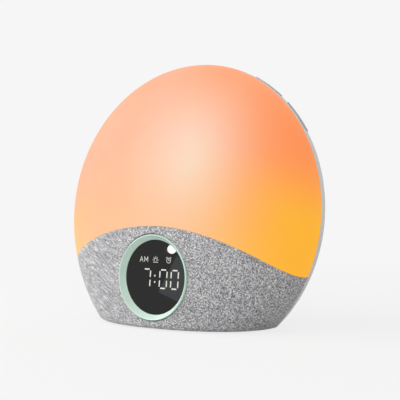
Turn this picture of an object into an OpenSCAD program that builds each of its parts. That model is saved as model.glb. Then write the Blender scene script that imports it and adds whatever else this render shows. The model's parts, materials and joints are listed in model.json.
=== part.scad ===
// Sunrise alarm clock: a glowing dome over a fabric-covered foot, with a round display, a round-rimmed
// back shell, shoulder keys and a loudspeaker behind the rear panel.
// +Z is up, the display looks along -Y, and the origin is on the table under the middle of the clock.

/* [Body] */
// Overall height above the table
height = 185; // [180:1:190]
// Radius of the round rim where the front meets the back shell
rim_r = 106; // [104:1:108]
// Backward lean of the rim plane, as run per unit of height
lean = 0.10; // [0.09:0.01:0.11]
// Distance of the rim's centre behind the middle of the footprint
rim_y = 7.05; // [6.85:0.05:7.25]
// How far the front bulges ahead of the rim plane
front_depth = 48; // [47:0.5:50]
// Depth of the front at the foot, before its edge is rounded
foot_depth = 44.5; // [44:0.5:46]
// Height at which the front bulges most
bulge_z = 70; // [68:1:72]
// Power of the front's level sections, where 2 is an ellipse
section_power = 2.2; // [2.1:0.1:2.3]
// Depth of the whole ellipsoid of which the back shell is a part
back_depth = 42; // [41:0.5:43]
// Distance of the flat back behind the rim plane
back_flat = 32; // [32:0.5:33]
// Height of the shells' edge above the table
foot_gap = 1; // [0.8:0.1:1.2]

/* [Front] */
// Height of the fabric's edge in the middle
hill_top = 72; // [71:0.5:73]
// How much lower that edge meets the rim
hill_drop = 34.5; // [33:0.5:36]
// Wall of the lamp dome
dome_wall = 2.4; // [2:0.1:2.6]
// Thickness of the fabric
fabric_t = 0.9; // [0.7:0.1:1]
// Wall of the carrier behind the fabric, with the glue gap
carrier_in = 3; // [2.8:0.1:3.1]

/* [Display] */
// Outer radius of the bezel ring
bezel_r = 29.8; // [29.6:0.1:30.2]
// Shadow gap between the ring and the fabric
bezel_gap = 0.6; // [0.3:0.1:0.7]
// Radius of the window inside the ring's funnel
glass_r = 26; // [25.4:0.1:26.2]
// Depth of the funnel
funnel = 4.1; // [3.6:0.05:4.3]
// Height of the display's centre
display_z = 36.6; // [36:0.1:37]
// Lean of the display, in degrees
display_tilt = 4; // [3.5:0.1:4.5]
// Height of a digit between the middles of its top and bottom strokes
digit_h = 12.7; // [12:0.1:13.2]
// Width of a digit between the middles of its upright strokes
digit_w = 6.2; // [5.6:0.1:6.6]

/* [Keys] */
// Length of a shoulder key
key_l = 25.5; // [24:0.5:26]
// Width of a shoulder key
key_w = 7; // [6.5:0.5:7]
// How far a shoulder key stands out of the shell
key_proud = 0.6; // [0.4:0.1:0.8]
// Angle of the pair's middle above the horizontal, in degrees
key_angle = 49.5; // [48:0.5:51]
// Radius of a rear key
rear_key_r = 3.9; // [3.5:0.1:4]

/* [Hidden] */
$fn = 96;

// ---- the body's outline ----
rim_z = height - rim_r;
lean_deg = atan(lean);
base_z = foot_gap;
base_t = 2.5;
base_top = base_z + base_t;
wall = 2.2;            // back shell
seam = 0.3;            // shadow gap at the rim
hill_gap = 0.3;        // gap between the dome and the fabric
glue = 0.1;            // between the fabric and its carrier
foot_power = 1.7;      // how the front draws in towards the foot
fold_r = 3.4;          // rounding of the front's lower edge
corner_r = 7;          // rounding of the two foot corners
corner_z = base_z + corner_r;
corner_x = sqrt(pow(rim_r - corner_r, 2) - pow(rim_z - corner_z, 2));
cols = 40;             // facets across the front
dome_rows = 26;
cover_rows = 12;
row_power = 1.6;       // crowds the cover's rows towards its folded foot

// Height at which the corner's arc runs into the rim circle, for a surface set in by w
function tangent_z(w) = rim_z + (rim_r - w)*(corner_z - rim_z)/(rim_r - corner_r);

// Half the width at height z
function half_width(z, w) = z < tangent_z(w)
    ? corner_x + sqrt(max(0, pow(corner_r - w, 2) - pow(corner_z - z, 2)))
    : sqrt(max(0, pow(rim_r - w, 2) - pow(z - rim_z, 2)));

// What the folded lower edge takes off the front's depth
function fold(z, w) = let (r = fold_r - w, t = z - base_z - w)
    t < r ? r - sqrt(max(0, r*r - pow(r - max(0, t), 2))) : 0;

// Depth of the front's middle ahead of the rim plane at height z
function front_run(z, w) = z > bulge_z
    ? (front_depth - w)*sqrt(max(0, 1 - pow((z - bulge_z)/(height - w - bulge_z), 2)))
    : front_depth - w - (front_depth - foot_depth)*pow((bulge_z - z)/bulge_z, foot_power) - fold(z, w);

function section(u) = pow(max(0, 1 - pow(abs(u), section_power)), 1/section_power);
function rim_at(z) = rim_y + lean*(z - rim_z);
function front_point(u, z, w) = [half_width(z, w)*u, rim_at(z) - front_run(z, w)*section(u), z];
function hill(u) = hill_top - hill_drop*u*u;
function across(i, n = cols) = sin(90*(2*i/n - 1));

// Height of a row of the dome, from the hill (v = 0) to the top (v = 1)
function dome_z(u, v, w) = let (a = asin((hill(u) - rim_z)/(rim_r - w)))
    rim_z + (rim_r - w)*sin(a + (90 - a)*v);
function cover_z(u, v, w) = base_z + w + (hill(u) - hill_gap - base_z - w)*pow(v, row_power);

function dome_points(w) = [
    for (j = [0:dome_rows - 1], i = [0:cols]) front_point(across(i), dome_z(across(i), j/dome_rows, w), w),
    front_point(0, height - w, w)];
function cover_points(w) = [
    for (j = [0:cover_rows], i = [0:cols]) front_point(across(i), cover_z(across(i), j/cover_rows, w), w)];

// Triangles between an outer and an inner grid of (nu + 1) by (nv + 1) points. With a pole, the last row
// is one point.
function skin_faces(nu, nv, pole) =
    let (o = function(i, j) (pole && j == nv) ? nv*(nu + 1) : j*(nu + 1) + i,
         n = pole ? nv*(nu + 1) + 1 : (nv + 1)*(nu + 1))
    [for (j = [0:nv - 1], i = [0:nu - 1])
        let (a = o(i, j), b = o(i + 1, j), c = o(i + 1, j + 1), d = o(i, j + 1),
             tip = pole && j == nv - 1)
        each concat([[a, c, b], [a + n, b + n, c + n]], tip ? [] : [[a, d, c], [a + n, c + n, d + n]]),
     for (i = [0:nu - 1]) let (a = o(i, 0), b = o(i + 1, 0)) each [[a, b, b + n], [a, b + n, a + n]],
     for (i = [0:pole ? -1 : nu - 1]) let (d = o(i, nv), c = o(i + 1, nv))
        each [[c, d, d + n], [c, d + n, c + n]],
     for (j = [0:nv - 1]) let (a = o(0, j), d = o(0, j + 1), b = o(nu, j), c = o(nu, j + 1))
        each [[d, a, a + n], [d, a + n, d + n], [b, c, c + n], [b, c + n, b + n]]];

module skin(outer, inner, nu, nv, pole = false)
    polyhedron(points = concat(outer, inner), faces = skin_faces(nu, nv, pole));

// ---- frames of reference ----
// Square to the rim plane: the origin is the rim's centre, +Y runs backwards
module leaned() translate([0, rim_y, rim_z]) rotate([-lean_deg, 0, 0]) children();

// Square to the display: the origin is the middle of the ring's face, +Y runs into the body
display_y = 50.9;      // ahead of the rim plane
module display() translate([0, rim_y - display_y, display_z]) rotate([-display_tilt, 0, 0]) children();

// Square to a shoulder's pair of keys: +X runs out of the body, +Z along the rim
module shoulder(side) mirror([side < 0 ? 1 : 0, 0, 0]) leaned() rotate([0, -key_angle, 0]) children();

// A round rod along +Y
module rod(r, y0, y1, x = 0, z = 0) translate([x, y0, z]) rotate([-90, 0, 0]) cylinder(r = r, h = y1 - y0);

// A box from its lowest corner to its highest corner
module block(low, high) translate(low) cube(high - low);

// A bar with round ends, l long along X
module pill(l, w) {
    square([l - w, w], center = true);
    for (s = [-1, 1]) translate([s*(l - w)/2, 0]) circle(d = w);
}

// The same as a slot or plug along +Y
module pill_rod(l, w, y0, y1, x = 0, z = 0)
    translate([x, y1, z]) rotate([90, 0, 0]) linear_extrude(y1 - y0) pill(l, w);

// A pan-head screw along -Y, its head behind y
module screw(head_r, head_h, shank_r, l, y, x = 0, z = 0) {
    difference() {
        rod(head_r, y, y + head_h, x, z);
        for (turn = [0, 90]) translate([x, y + head_h, z]) rotate([0, turn, 0])
            block([-head_r*0.6, -head_h/2, -0.3], [head_r*0.6, 1, 0.3]);
    }
    rod(shank_r, y - l, y, x, z);
}

// ---- front ----
// Tabs inside the rim, which screws pull against the frame. Their angles are from +X, round the rim.
frame_t = 2.4;
dome_tabs = [-12, 24, 72, 108, 156, 192];
carrier_tabs = [-33, 213];
tab_screw_r = 99.8;    // distance of their screws from the rim's centre
tab_front = -6.5;
module at_rim(a) leaned() rotate([0, -a, 0]) children();
module rim_tab(a, outer_r) at_rim(a) difference() {
    block([97, tab_front, -6], [outer_r, -frame_t, 6]);
    rod(1.05, tab_front + 0.9, 0, tab_screw_r, 0);
}

module diffuser_dome() color("sandybrown") {
    skin(dome_points(0), dome_points(dome_wall), cols, dome_rows, pole = true);
    for (a = dome_tabs) rim_tab(a, rim_r - 1.7);
}

hole_r = bezel_r + bezel_gap;
module fabric_cover() color("silver") difference() {
    skin(cover_points(0), cover_points(fabric_t), cols, cover_rows);
    display() rod(hole_r, -8, 14);
}

post_x = 29.8;
post_z = 20.1;
post_y = [4.3, 3.5];   // where the lower and the upper posts leave the carrier's wall
ear_y = 6.4;
module front_carrier() color("gainsboro") difference() {
    union() {
        difference() {
            skin(cover_points(fabric_t + glue), cover_points(carrier_in), cols, cover_rows);
            display() rod(hole_r, -8, 14);
        }
        display() for (sx = [-1, 1], level = [0, 1])
            rod(2.8, post_y[level], ear_y, sx*post_x, (2*level - 1)*post_z);
        for (a = carrier_tabs) rim_tab(a, rim_r - 2.4);
    }
    display() for (sx = [-1, 1], level = [0, 1])
        rod(1.05, post_y[level] + 0.9, ear_y + 1, sx*post_x, (2*level - 1)*post_z);
}

lens_r = glass_r + 1.2;
lens_t = 1.5;
module_y = funnel + lens_t + 0.4;
board_y = 11;
board_t = 1.6;
module bezel_ring() color("darkseagreen") display() difference() {
    union() {
        rotate([-90, 0, 0]) rotate_extrude() polygon([
            [bezel_r - 0.6, 0], [bezel_r - 1, 0.3], [glass_r, funnel - 0.25], [glass_r, funnel],
            [lens_r + 0.1, funnel], [lens_r + 0.1, 8], [bezel_r, 8], [bezel_r, 0.4]]);
        difference() {
            intersection() {
                rod(34, ear_y, 8);
                block([-35, 0, -28], [35, 12, 28]);
            }
            rod(bezel_r - 0.5, 0, 12);
        }
        for (sx = [-1, 1], sz = [-1, 1]) rod(3.2, ear_y, board_y, sx*post_x, sz*post_z);
    }
    for (sx = [-1, 1], sz = [-1, 1]) rod(1.2, 0, 20, sx*post_x, sz*post_z);
    rod(lens_r + 0.1, funnel, 12);
}

module display_lens() color([0.08, 0.08, 0.09]) display() rod(lens_r, funnel, funnel + lens_t);
module display_module() color([0.15, 0.15, 0.15]) display() rod(lens_r - 0.3, module_y, board_y);

// ---- the lit signs, on the module's face just behind the window ----
stroke = 0.95;
sign_t = 0.25;
slant = 2.5;           // degrees
digit_z = -1;
module on_face() display() translate([0, module_y, 0]) rotate([90, 0, 0]) linear_extrude(sign_t) children();
module bar(a, b, w = stroke) {
    d = b - a;
    translate((a + b)/2) rotate(atan2(d.y, d.x)) pill(norm(d) + w, w);
}

// Ends of the seven strokes, from the top one round to the middle one
function digit_strokes(w, h) = let (g = stroke*1.45, t = h/2, m = w/2) [
    [[-m + g, t], [m - g, t]], [[m, t - g], [m, g]], [[m, -g], [m, -t + g]], [[m - g, -t], [-m + g, -t]],
    [[-m, -t + g], [-m, -g]], [[-m, g], [-m, t - g]], [[-m + g, 0], [m - g, 0]]];
SEVEN = [0, 1, 2];
ZERO = [0, 1, 2, 3, 4, 5];
module digit(x, lit) multmatrix([[1, tan(slant), 0, x], [0, 1, 0, digit_z], [0, 0, 1, 0], [0, 0, 0, 1]])
    for (k = lit) let (s = digit_strokes(digit_w, digit_h)[k]) bar(s[0], s[1]);
module digit_segments() color("beige") on_face() {
    digit(-7.4, SEVEN);
    digit(7.15, ZERO);
    digit(17.05, ZERO);
    for (z = [-3.3, 1.1]) translate([-0.2, z]) circle(r = 0.65);
}

sign_w = 0.42;
sign_z = 12;           // the row of small signs
module display_icons() color("beige") on_face() {
    // AM
    for (s = [-1, 1]) {
        bar([-12.45 + 1.35*s, sign_z - 1.6], [-12.45, sign_z + 1.95], sign_w);
        bar([-8.3 + 1.45*s, sign_z - 1.6], [-8.3 + 1.45*s, sign_z + 1.95], sign_w);
        bar([-8.3 + 1.45*s, sign_z + 1.95], [-8.3, sign_z - 0.7], sign_w);
    }
    bar([-13.15, sign_z - 0.4], [-11.75, sign_z - 0.4], sign_w);
    // a sun over the horizon
    translate([0.1, sign_z]) {
        intersection() {
            difference() {
                circle(r = 1.5);
                circle(r = 1.05);
            }
            translate([-3, -0.9]) square([6, 5]);
        }
        bar([-2, -1.6], [2, -1.6], sign_w);
        for (a = [0:45:180]) bar(1.95*[cos(a), sin(a)], 2.4*[cos(a), sin(a)], 0.45);
    }
    // an alarm clock
    translate([11.5, sign_z]) {
        difference() {
            circle(r = 1.95);
            circle(r = 1.5);
        }
        bar([0, 0], [0, 0.95], 0.4);
        bar([0, 0], [0.6, 0], 0.4);
        for (s = [-1, 1]) bar([s*1.2, 2.35], [s*2.1, 1.65], sign_w);
    }
}

module display_board() color("darkgreen") display() difference() {
    block([-34, board_y, -24], [34, board_y + board_t, 24]);
    for (sx = [-1, 1], sz = [-1, 1]) rod(1.2, 0, 20, sx*post_x, sz*post_z);
}
module bezel_screws() color("lightgray") display() for (sx = [-1, 1], sz = [-1, 1])
    screw(2.3, 1.4, 1, board_y + board_t - ear_y + 1.1, board_y + board_t, sx*post_x, sz*post_z);

// ---- lamp ----
baffle_drop = 3.2;     // below the hill
baffle_t = 1.6;
baffle_w = 3.4;        // set in from the outside
baffle_span = 0.97;
function baffle_points(drop) = [for (back = [1, 0], i = [0:cols])
    let (u = baffle_span*across(i), z = hill(u) - drop, p = front_point(u, z, baffle_w))
    [p.x, back ? rim_at(z) - frame_t/cos(lean_deg) : p.y, z]];
baffle_pegs = [[-60, -22.8], [0, -11.2], [60, -22.8]];
module light_baffle() color("white") {
    skin(baffle_points(baffle_drop + baffle_t), baffle_points(baffle_drop), cols, 1);
    leaned() for (p = baffle_pegs) rod(1.5, tray_y + 0.2, 0.8, p.x, p.y);
}

// The fabric's edge seen from the front, lowered by drop
function hill_line(drop) = [for (u = [-1:0.1:1]) [half_width(hill(u), 0)*u, hill(u) - drop]];

tray_y = -5;           // back of the reflector's floor
tray_drop = 2.4;       // the reflector's lower edge, below the hill
lead_hole_z = -1;
tray_posts = [[-66, 12], [66, 12], [-46, 66], [46, 66], [-20, 85], [20, 85]];
module lamp_reflector() color("white") difference() {
    leaned() difference() {
        union() {
            rotate([-90, 0, 0]) rotate_extrude() polygon([
                [0, tray_y], [0, tray_y - 1.2], [93, tray_y - 1.2], [96, tray_y - 7], [97, tray_y - 7],
                [94, tray_y]]);
            for (p = tray_posts) rod(3, tray_y - 0.6, -frame_t, p.x, p.y);
        }
        rod(3, -20, 5, 0, lead_hole_z);
    }
    rotate([90, 0, 0]) linear_extrude(200, center = true)
        polygon(concat([[-rim_r, -rim_r], [-rim_r, hill(1) - tray_drop]], hill_line(tray_drop),
                       [[rim_r, hill(1) - tray_drop], [rim_r, -rim_r]]));
}

led_z = 46;            // centre of the lamp's ring
led_r = 36;
lamp_y = tray_y - 1.2;
lamp_board_t = 1.5;
module lamp_board() color("whitesmoke") leaned() difference() {
    union() {
        difference() {
            rod(led_r + 6, lamp_y - lamp_board_t, lamp_y, 0, led_z);
            rod(led_r - 6, lamp_y - 5, lamp_y + 5, 0, led_z);
        }
        block([-75, lamp_y - lamp_board_t, -3.5], [75, lamp_y, 3.5]);
        block([-6, lamp_y - lamp_board_t, 2], [6, lamp_y, 8]);
    }
    rod(2, -20, 5, 0, lead_hole_z);
}
module led(x, z) {
    block([x - 2.5, lamp_y - lamp_board_t - 1.4, z - 2.5], [x + 2.5, lamp_y - lamp_board_t, z + 2.5]);
}
module white_leds() color("lightyellow") leaned()
    for (a = [0:30:330]) led(led_r*cos(a), led_z + led_r*sin(a));
module amber_leds() color("orange") leaned() for (k = [-5:5]) if (k != 0) led(13.6*k, 0);

// ---- middle ----
frame_r = rim_r - 3.3;
shell_posts = [for (a = [18, 90, 162, 218, 322]) 88*[cos(a), sin(a)]];
switch_x = 90.4;       // face of a shoulder's switch board
flange_x = 52;
flange_y = rim_at(base_top) - 6;
flange_screws = [-44, -20, 20, 44];
key_board_z = 26;      // half its length
key_y = 7;             // middle of the shoulder keys behind the rim plane
module mid_frame() color("dimgray") difference() {
    union() {
        intersection() {
            leaned() rod(frame_r, -frame_t, 0);
            block([-rim_r, -rim_r, base_top], [rim_r, rim_r, height]);
        }
        block([-flange_x, flange_y - 4.5, base_top], [flange_x, flange_y + 4.5, base_top + 4.5]);
        for (side = [-1, 1]) shoulder(side)
            block([switch_x - 3.6, -frame_t/2, -key_board_z], [switch_x - 1.6, 12.5, key_board_z]);
        leaned() for (p = shell_posts) rod(4, -4.6, -frame_t/2, p.x, p.y);
    }
    leaned() {
        block([-30, -10, -60], [30, 5, -22]);
        for (s = [-1, 1]) rod(12, -10, 5, s*50, -34);
        rod(3.5, -10, 5, 0, lead_hole_z);
        for (p = shell_posts) rod(1.45, -10, 5, p.x, p.y);
        for (p = baffle_pegs) rod(1.6, -10, 5, p.x, p.y);
    }
    for (a = concat(dome_tabs, carrier_tabs)) at_rim(a) rod(1.2, -10, 5, tab_screw_r, 0);
    for (side = [0, 1]) mirror([side, 0, 0]) block([tongue_x - 1, -20, 0], [rim_r, 20, tongue_top + 0.6]);
    for (x = flange_screws) translate([x, flange_y, 0]) cylinder(r = 1.45, h = 20);
    for (side = [-1, 1], s = [-1, 1]) shoulder(side) translate([80, key_y, 5*s]) rotate([0, 90, 0])
        cylinder(r = 0.95, h = 20);
}

module front_screws() color("lightgray") for (a = concat(dome_tabs, carrier_tabs)) at_rim(a)
    screw(2.3, 1.3, 1, frame_t + 3, 0, tab_screw_r, 0);

// Outline of the base, inside the shells' lower edge
base_clear = 0.8;
base_front = front_run(base_z, 0) - base_clear;
base_back = corner_x*(back_depth - wall)/(rim_r - wall) - base_clear;
base_half = corner_x - base_clear;
feet = [[-32, -14], [32, -14], [-42, 10], [42, 10]];
foot_r = 7;
foot_sunk = 0.8;
module base_plate() color("gray") difference() {
    translate([0, rim_at(base_z), base_z]) linear_extrude(base_t) polygon(concat(
        [for (i = [0:cols]) [base_half*across(i), -base_front*section(across(i))]],
        [for (i = [1:cols - 1]) [-base_half*across(i), base_back*sqrt(1 - pow(across(i), 2))]]));
    for (p = feet) translate([p.x, p.y, 0]) cylinder(r = foot_r + 0.2, h = base_z + foot_sunk);
    for (x = flange_screws) translate([x, flange_y, 0]) {
        cylinder(r = 2.9, h = base_z + 1.2);
        cylinder(r = 1.6, h = 10);
    }
}
module base_screws() color("lightgray") for (x = flange_screws)
    translate([x, flange_y, base_z + 1.2]) rotate([-90, 0, 0]) screw(2.7, 1.1, 1.4, 5, 0);
module rubber_feet() color([0.2, 0.2, 0.2]) for (p = feet)
    translate([p.x, p.y, 0]) cylinder(r = foot_r, h = base_z + foot_sunk);

// ---- back shell ----
// The back's body between y0 and y1 behind the rim plane, down to floor_z: an ellipsoid set in by w and
// sheared to follow the lean
module back_body(w, y0, y1, floor_z = -5)
    multmatrix([[1, 0, 0, 0], [0, 1, lean, rim_y - lean*rim_z], [0, 0, 1, 0], [0, 0, 0, 1]])
    intersection() {
        scale([1, (back_depth - w)/(rim_r - w), 1]) translate([0, 0, rim_z])
            rotate([0, 90, 0]) rotate([90, 0, 0]) sphere(r = rim_r - w);
        block([-rim_r - 5, y0, floor_z], [rim_r + 5, y1, height + 5]);
    }

// What the rounding of the two foot corners takes off the back shell
module corner_cut() rotate([90, 0, 0]) linear_extrude(200, center = true) for (side = [0, 1])
    mirror([side, 0]) difference() {
        translate([corner_x, base_z - 1]) square([corner_r, tangent_z(0) - base_z + 1]);
        translate([corner_x, corner_z]) circle(r = corner_r);
    }

panel_z = back_flat*sin(lean_deg);    // the flat back's centre above the rim's
panel_y1 = back_flat*cos(lean_deg);
panel_t = 2.2;
panel_y0 = panel_y1 - panel_t;
panel_r = 65;
ledge_t = 2.2;
panel_hold = [for (a = [45:90:315]) [59.5*cos(a), panel_z + 59.5*sin(a)]];
well_floor = 4;
// The shell's two foot tongues reach forward inside the front, as far as the whole rim circle would
tongue_x = 66;
tongue_top = 9;
tongue_y = rim_at(rim_z - rim_r) + seam;

// The plug shape of one shoulder key, wider by gap all round
module key_plug(level, gap, x0, x1) translate([x0, key_y, level*16.6]) rotate([0, 90, 0])
    linear_extrude(x1 - x0) pill(key_l + 2*gap, key_w + 2*gap);

module rear_shell() color("lightgray") difference() {
    union() {
        difference() {
            back_body(0, seam, back_flat, base_z);
            back_body(wall, -1, back_flat - panel_t - ledge_t);
            corner_cut();
        }
        intersection() {
            back_body(wall/2, seam, back_flat - 1);
            leaned() for (p = shell_posts) rod(5, seam, 30, p.x, p.y);
        }
        leaned() for (p = panel_hold) rod(4, 23, panel_y0 - 0.5, p.x, p.y);
        for (side = [0, 1]) mirror([side, 0, 0]) {
            block([tongue_x, tongue_y, 5], [tongue_x + 4.2, rim_at(5) + 7, tongue_top]);
            block([tongue_x, rim_at(tongue_top) + seam + 0.5, 5], [tongue_x + 8, rim_at(5) + 7, tongue_top]);
        }
    }
    leaned() {
        rod(panel_r + 0.15, panel_y0, panel_y1 + 5, 0, panel_z);
        difference() {
            rod(61, 20, panel_y1 + 5, 0, panel_z);
            for (p = panel_hold) rod(4, 23, panel_y0, p.x, p.y);
        }
        for (p = panel_hold) rod(1.35, 24, 40, p.x, p.y);
        for (p = shell_posts) {
            rod(3.3, well_floor, 60, p.x, p.y);
            rod(1.7, -5, 20, p.x, p.y);
        }
    }
    for (side = [-1, 1], level = [-1, 1]) shoulder(side) key_plug(level, 0.35, 85, 120);
}
module shell_screws() color("lightgray") leaned() for (p = shell_posts)
    screw(2.9, 2, 1.4, well_floor + 4.4, well_floor, p.x, p.y);

speaker_z = 28;
spk_hold = 19.3;
board_hold = [[-34, -14], [34, -14], [-33, -42], [33, -42]];
main_y = 22;           // back face of the main board
rear_keys = [-16, 0, 16];
rear_key_z = -22;
usb_z = -42;
slot_pitch = 4.3;
slot_w = 2;
grille_r = 19;
module rear_panel() color("lightgray") leaned() difference() {
    union() {
        rod(panel_r, panel_y0, panel_y1, 0, panel_z);
        for (p = board_hold) rod(3, main_y, panel_y1 - 1, p.x, p.y);
        for (sx = [-1, 1], sz = [-1, 1])
            rod(2.6, 28.4, panel_y1 - 1, sx*spk_hold, speaker_z + sz*spk_hold);
    }
    for (k = [-4:4]) let (z = k*slot_pitch, l = 2*sqrt(grille_r*grille_r - z*z))
        pill_rod(l, slot_w, 20, 40, 0, speaker_z + z);
    for (x = rear_keys) rod(rear_key_r + 0.35, 20, 40, x, rear_key_z);
    pill_rod(9.4, 3.7, 20, 40, 0, usb_z);
    for (p = board_hold) rod(1.15, 10, 28, p.x, p.y);
    for (sx = [-1, 1], sz = [-1, 1])
        rod(1.15, 20, panel_y1 - 0.8, sx*spk_hold, speaker_z + sz*spk_hold);
    for (p = panel_hold) {
        rod(1.6, 20, 40, p.x, p.y);
        rod(2.9, panel_y1 - 1.3, 40, p.x, p.y);
    }
}
module panel_screws() color("lightgray") leaned() for (p = panel_hold)
    screw(2.7, 1.1, 1.3, 6, panel_y1 - 1.3, p.x, p.y);

// ---- shoulder keys ----
switch_h = 3.6;
stem_tip = switch_x + switch_h - 0.4;
module shoulder_key(side, level) color([0.53, 0.53, 0.54]) union() {
    difference() {
        intersection() {
            back_body(-key_proud, seam, 25);
            shoulder(side) key_plug(level, 0, 85, 120);
        }
        back_body(wall + 0.9, -1, 30);
    }
    difference() {
        intersection() {
            back_body(wall + 0.35, seam, 25);
            shoulder(side) key_plug(level, 1.3, 85, 120);
        }
        back_body(wall + 1.55, -1, 30);
    }
    shoulder(side) translate([stem_tip, key_y, level*16.6]) rotate([0, 90, 0])
        cylinder(r = 1.25, h = rim_r - 6 - stem_tip);
}
module right_upper_key() shoulder_key(1, 1);
module right_lower_key() shoulder_key(1, -1);
module left_upper_key() shoulder_key(-1, 1);
module left_lower_key() shoulder_key(-1, -1);

module key_board(side) color("darkgreen") shoulder(side) difference() {
    block([switch_x - 1.6, 1.5, -key_board_z], [switch_x, 12.5, key_board_z]);
    for (s = [-1, 1]) translate([80, key_y, 5*s]) rotate([0, 90, 0]) cylinder(r = 1.1, h = 20);
}
module right_key_board() key_board(1);
module left_key_board() key_board(-1);
module switches(side) color([0.2, 0.2, 0.2]) shoulder(side) for (level = [-1, 1])
    translate([switch_x, key_y, level*16.6]) rotate([0, 90, 0]) difference() {
        block([-3, -3, 0], [3, 3, switch_h]);
        translate([0, 0, 1.2]) cylinder(r = 1.7, h = 5);
    }
module right_switches() switches(1);
module left_switches() switches(-1);
module key_board_screws() color("lightgray") for (side = [-1, 1], s = [-1, 1])
    shoulder(side) translate([switch_x, key_y, 5*s]) rotate([0, 0, -90]) screw(1.8, 1.2, 0.9, 3.4, 0);

// ---- rear keys and main board ----
module rear_key(x) color([0.53, 0.53, 0.54]) leaned() {
    rod(rear_key_r, panel_y0 - 1.3, panel_y1 + 1, x, rear_key_z);
    rod(rear_key_r + 1.3, panel_y0 - 1.3, panel_y0 - 0.2, x, rear_key_z);
    rod(1.25, main_y + switch_h - 0.4, panel_y0 - 1, x, rear_key_z);
}
module rear_key_left() rear_key(rear_keys[0]);
module rear_key_middle() rear_key(rear_keys[1]);
module rear_key_right() rear_key(rear_keys[2]);
module rear_switches() color([0.2, 0.2, 0.2]) leaned() for (x = rear_keys) difference() {
    block([x - 3, main_y, rear_key_z - 3], [x + 3, main_y + switch_h, rear_key_z + 3]);
    rod(1.7, main_y + 1.2, 40, x, rear_key_z);
}
board_front = main_y - board_t;
module main_board() color("darkgreen") leaned() difference() {
    block([-40, board_front, -50], [40, main_y, -8]);
    for (p = board_hold) rod(1.5, 10, 40, p.x, p.y);
}
module board_screws() color("lightgray") leaned() for (p = board_hold)
    translate([p.x, board_front, p.y]) rotate([0, 0, 180]) screw(2.4, 1.4, 1.1, 6, 0);
module main_chips() color([0.12, 0.12, 0.12]) leaned() {
    block([4, board_front - 1.2, -31], [13, board_front, -22]);
    block([20, board_front - 1.1, -26], [26, board_front, -20]);
    block([21, board_front - 3, -47], [27, board_front, -41]);
    for (x = [20, 28]) rod(3.1, board_front - 8, board_front, x, -34);
    for (x = [-36, -33, 35, 38]) block([x - 1, board_front - 0.8, -30], [x + 1, board_front, -26]);
}
cell_at = [-20, -28];
module cell_holder() color([0.1, 0.1, 0.1]) leaned() difference() {
    rod(11.6, board_front - 4.8, board_front, cell_at.x, cell_at.y);
    rod(10.2, board_front - 6, board_front - 1.2, cell_at.x, cell_at.y);
}
module backup_cell() color("silver") leaned()
    rod(10, board_front - 4.4, board_front - 1.2, cell_at.x, cell_at.y);

socket_y = 4;
ribbon_z = -46;
module lead_sockets() color("ivory") {
    leaned() {
        block([-11, board_front - socket_y, ribbon_z - 2], [11, board_front, ribbon_z + 2]);
        block([-3, board_front - socket_y, -15], [3, board_front, -10.5]);
        block([11, board_front - socket_y, -15], [17, board_front, -10.5]);
    }
    display() block([-11, board_y + board_t, -6], [11, board_y + board_t + socket_y, -2]);
}

usb_w = 8.94;
usb_h = 3.26;
module usb_c_inlet() color("silver") leaned() {
    difference() {
        pill_rod(usb_w, usb_h, main_y, panel_y1 - 0.6, 0, usb_z);
        pill_rod(usb_w - 0.6, usb_h - 0.6, main_y + 2.5, 40, 0, usb_z);
    }
    block([-3.3, main_y + 1, usb_z - 0.35], [3.3, panel_y1 - 1.6, usb_z + 0.35]);
}

// ---- loudspeaker ----
// Turned parts share the driver's axis
module turned() leaned() translate([0, 0, speaker_z]) rotate([-90, 0, 0]) rotate_extrude() children();
gasket_y = 28.4;
module speaker_gasket() color([0.15, 0.15, 0.15]) leaned() difference() {
    rod(22.4, gasket_y, panel_y0, 0, speaker_z);
    rod(19.2, 20, 40, 0, speaker_z);
}
module speaker_frame() color([0.25, 0.25, 0.26]) difference() {
    union() {
        leaned() difference() {
            block([-22.5, gasket_y - 1.2, speaker_z - 22.5], [22.5, gasket_y, speaker_z + 22.5]);
            rod(18.5, 20, 40, 0, speaker_z);
        }
        turned() polygon([[18.5, gasket_y - 1.2], [20.2, gasket_y - 1.2], [14.2, 17], [14.2, 15.5],
                          [6.4, 15.5], [6.4, 16.7], [13, 16.7]]);
        leaned() block([-3, 17, speaker_z - 19.5], [17, 19.5, speaker_z - 16.5]);
        leaned() block([-3, 17, speaker_z - 17], [3, 19.5, speaker_z - 13.5]);
    }
    for (turn = [45:90:315]) leaned() translate([0, 0, speaker_z]) rotate([0, turn, 0])
        block([14.6, 18.5, -6], [19, 25, 6]);
    for (sx = [-1, 1], sz = [-1, 1])
        leaned() rod(1.4, 20, 40, sx*spk_hold, speaker_z + sz*spk_hold);
}
cone_y = 27.3;         // front of the cone's lip
neck_y = 21.6;         // top of the coil, inside the cone's neck
module speaker_surround() color([0.1, 0.1, 0.1]) turned() {
    difference() {
        translate([16.4, cone_y]) circle(r = 1.7);
        translate([16.4, cone_y]) circle(r = 1.2);
        translate([10, cone_y - 6]) square([12, 6]);
    }
    translate([13.9, cone_y]) square([1.1, 0.35]);
    translate([17.4, gasket_y]) square([1.7, 0.35]);
}
module speaker_cone() color([0.2, 0.2, 0.2]) turned() polygon([[13.9, cone_y], [14.9, cone_y],
    [14.9, cone_y - 0.5], [14.1, cone_y - 0.5], [6.2, neck_y - 0.6], [5.6, neck_y - 0.6], [5.6, neck_y]]);
module speaker_dust_cap() color([0.15, 0.15, 0.15]) turned() intersection() {
    difference() {
        translate([0, neck_y - 4.2]) circle(r = 6.8);
        translate([0, neck_y - 4.2]) circle(r = 6.2);
    }
    translate([0, neck_y]) square([8, 8]);
}
module voice_coil() color("chocolate") turned() translate([5.1, 15.8]) square([0.5, neck_y - 15.8]);
module speaker_magnet() color("dimgray") turned() {
    translate([0, 8]) square([12.5, 7.5]);
    translate([0, 15.5]) square([4.6, 3.5]);
}
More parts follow.
